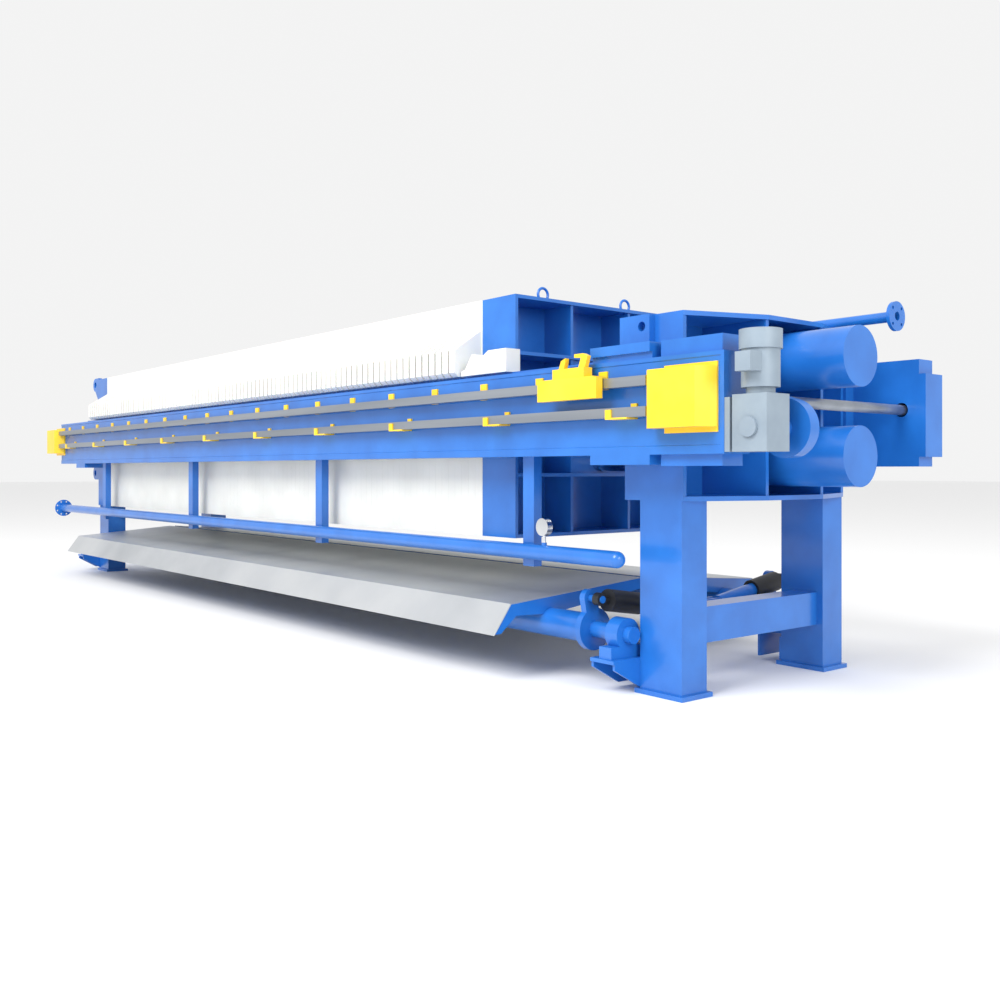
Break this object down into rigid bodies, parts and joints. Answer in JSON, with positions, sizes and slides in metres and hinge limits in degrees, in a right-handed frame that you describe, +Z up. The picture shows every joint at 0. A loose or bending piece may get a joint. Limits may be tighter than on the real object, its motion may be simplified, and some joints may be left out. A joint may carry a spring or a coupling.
{
  "type": "plate filter press",
  "caption": "Filter press with side beams: closed pack of square plates between a fixed head and a sliding follower, plate shifter, squeeze header and twin tray flaps.",
  "frame": {"origin": "on the floor below the middle of the machine", "axes": "+X along the side beams towards the closing cylinders, +Y across, +Z up"},
  "size_m": [10.634, 2.444, 2.38],
  "materials": {
    "blue_paint": "semi-gloss",
    "yellow_paint": "semi-gloss",
    "plate_plastic": "matt, moulded polypropylene",
    "bare_steel": "bare and polished",
    "tray_steel": "stainless sheet",
    "grey_paint": "semi-gloss",
    "boot_rubber": "folded cloth-backed rubber"
  },
  "bodies": {
    "press_frame": {"beam_ends": "blue_paint", "chain_guard": "blue_paint", "closing_cylinders": "blue_paint", "cylinder_seat": "blue_paint", "drive_covers": "yellow_paint", "drive_motor": "grey_paint", "drive_reducer": "grey_paint", "filter_plates": "plate_plastic", "flap_bearings": "blue_paint", "flap_cylinder_bracket": "blue_paint", "idler_covers": "yellow_paint", "leg_stretcher": "blue_paint", "lifting_lugs": "blue_paint", "manifold_hangers": "blue_paint", "plate_handles_far": "plate_plastic", "plate_handles_near": "plate_plastic", "pressure_gauge": "bare_steel", "rail_brackets": "yellow_paint", "seat_leg_far": "blue_paint", "seat_leg_near": "blue_paint", "service_pipe": "blue_paint", "shifter_rails": "bare_steel", "side_beam_far": "blue_paint", "side_beam_near": "blue_paint", "squeeze_manifold": "blue_paint", "thrust_head": "blue_paint", "thrust_leg_far": "blue_paint", "thrust_leg_near": "blue_paint"},
    "follower": {"follower": "blue_paint", "follower_shoes": "blue_paint", "piston_rods": "bare_steel", "follower_eyes": "blue_paint"},
    "shifter_near": {"carriage_near": "yellow_paint"},
    "shifter_far": {"carriage_far": "yellow_paint"},
    "cross_shaft": {"cross_shaft": "bare_steel"},
    "flap_near": {"tray_leaf_near": "tray_steel", "flap_ribs_near": "blue_paint", "flap_tube_near": "blue_paint"},
    "flap_rod_near": {"flap_rod_near": "boot_rubber"},
    "flap_barrel_near": {"flap_barrel_near": "blue_paint"},
    "flap_far": {"tray_leaf_far": "tray_steel", "flap_ribs_far": "blue_paint", "flap_tube_far": "blue_paint"},
    "flap_rod_far": {"flap_rod_far": "boot_rubber"},
    "flap_barrel_far": {"flap_barrel_far": "blue_paint"}
  },
  "joints": [
    {"name": "follower_slide", "type": "slide", "parent": "press_frame", "child": "follower", "axis": [1, 0, 0], "range_m": [0, 0.75]},
    {"name": "shifter_near_slide", "type": "slide", "parent": "press_frame", "child": "shifter_near", "axis": [-1, 0, 0], "range_m": [0, 8.2]},
    {"name": "shifter_far_slide", "type": "slide", "parent": "press_frame", "child": "shifter_far", "axis": [-1, 0, 0], "range_m": [0, 8.2]},
    {"name": "cross_shaft_turn", "type": "hinge", "parent": "press_frame", "child": "cross_shaft", "pos_m": [4.888, 0, 1.545], "axis": [0, 1, 0], "range_deg": [-6300, 0]},
    {"name": "flap_near_hinge", "type": "hinge", "parent": "press_frame", "child": "flap_near", "pos_m": [0, -0.79, 0.312], "axis": [-1, 0, 0], "range_deg": [0, 30]},
    {"name": "flap_rod_near_pivot", "type": "hinge", "parent": "flap_near", "child": "flap_rod_near", "pos_m": [4.046, -0.82549, 0.48643], "axis": [-1, 0, 0], "range_deg": [-32, 2]},
    {"name": "flap_barrel_near_slide", "type": "slide", "parent": "flap_rod_near", "child": "flap_barrel_near", "axis": [0, -0.9881, 0.1539], "range_m": [0, 0.1]},
    {"name": "flap_far_hinge", "type": "hinge", "parent": "press_frame", "child": "flap_far", "pos_m": [0, 0.79, 0.312], "axis": [1, 0, 0], "range_deg": [0, 30]},
    {"name": "flap_rod_far_pivot", "type": "hinge", "parent": "flap_far", "child": "flap_rod_far", "pos_m": [4.046, 0.82549, 0.48643], "axis": [1, 0, 0], "range_deg": [-32, 2]},
    {"name": "flap_barrel_far_slide", "type": "slide", "parent": "flap_rod_far", "child": "flap_barrel_far", "axis": [0, 0.9881, 0.1539], "range_m": [0, 0.1]}
  ],
  "couplings": [
    {"joint": "shifter_far_slide", "follows": "shifter_near_slide", "ratio": 1},
    {"joint": "cross_shaft_turn", "follows": "shifter_near_slide", "rad_per_m": -13.333},
    {"joint": "flap_rod_near_pivot", "follows": "flap_near_hinge", "ratio": -0.9581},
    {"joint": "flap_barrel_near_slide", "follows": "flap_near_hinge", "m_per_rad": 0.17414},
    {"joint": "flap_rod_far_pivot", "follows": "flap_far_hinge", "ratio": -0.9581},
    {"joint": "flap_barrel_far_slide", "follows": "flap_far_hinge", "m_per_rad": 0.17414}
  ]
}
